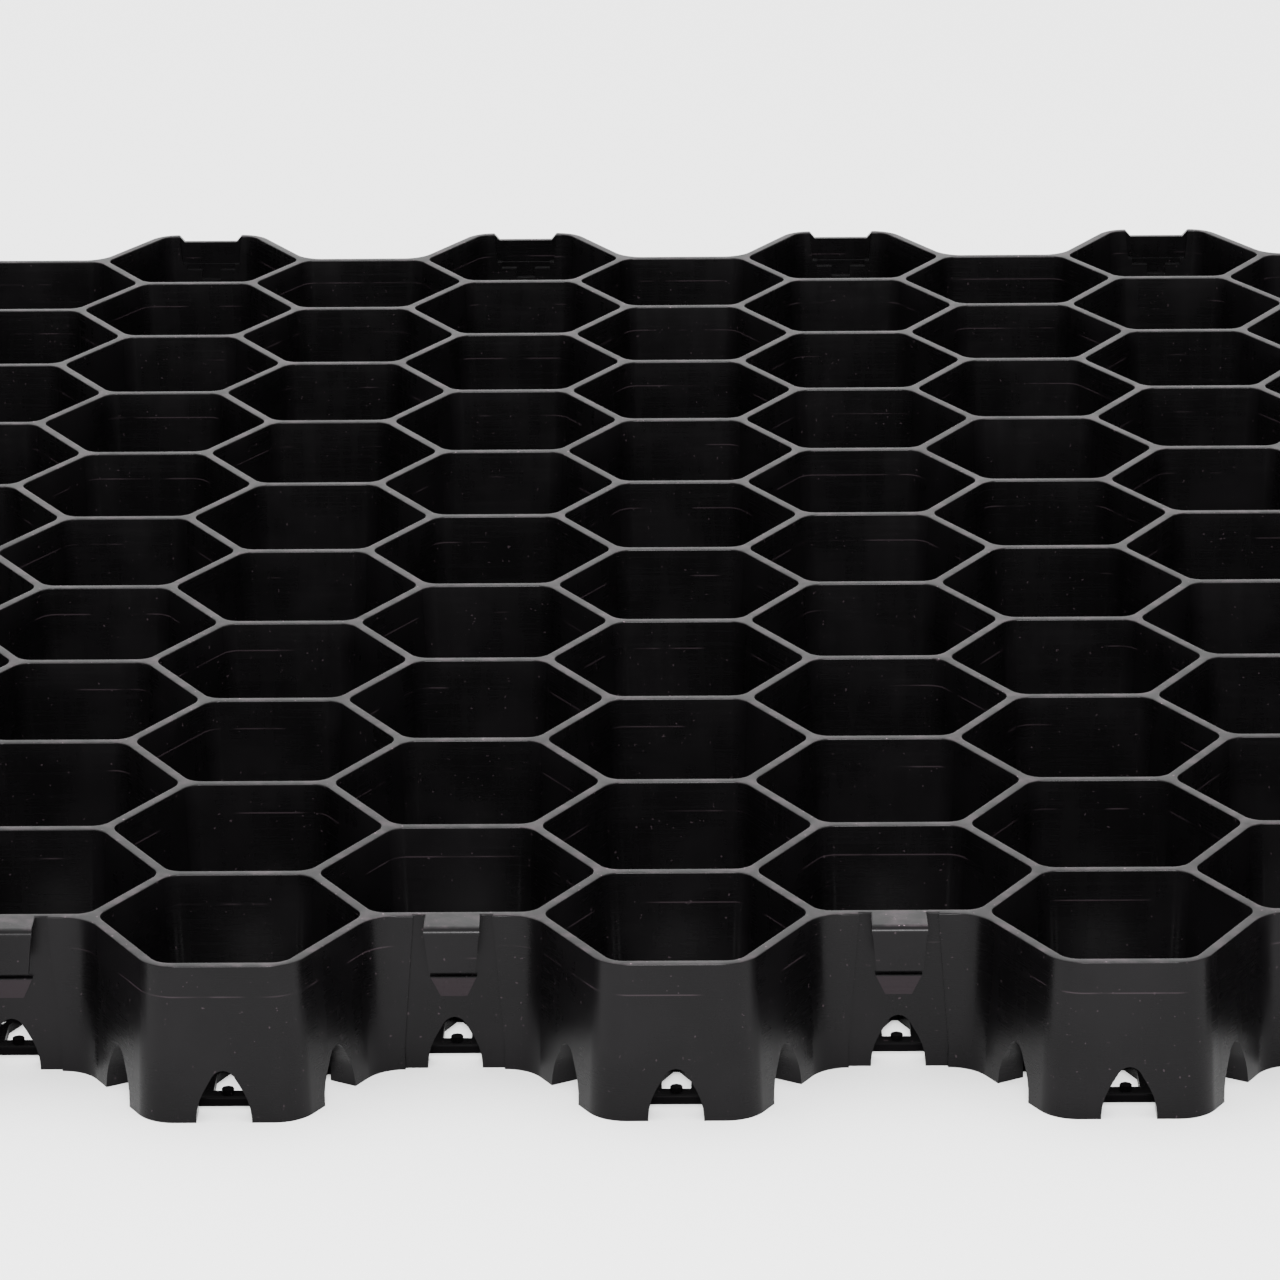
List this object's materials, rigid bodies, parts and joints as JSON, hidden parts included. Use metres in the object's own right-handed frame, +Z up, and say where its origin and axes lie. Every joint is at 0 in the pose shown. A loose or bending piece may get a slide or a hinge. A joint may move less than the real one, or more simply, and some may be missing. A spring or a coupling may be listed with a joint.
{
  "type": "grass paver grid",
  "caption": "Black moulded plastic honeycomb panel that holds turf or gravel in open cells, with drain arches at the foot of each wall and clip edges that lock panels together.",
  "frame": {"origin": "middle of the panel's bounding box, on the underside", "axes": "+Z up out of the open cells, +Y from the clip edge to the socket edge along the cell columns, +X across the columns"},
  "size_m": [0.5336, 0.6298, 0.038],
  "materials": {
    "black_plastic": "moulded, satin"
  },
  "bodies": {
    "root": {"paver_grid": "black_plastic"}
  },
  "joints": []
}
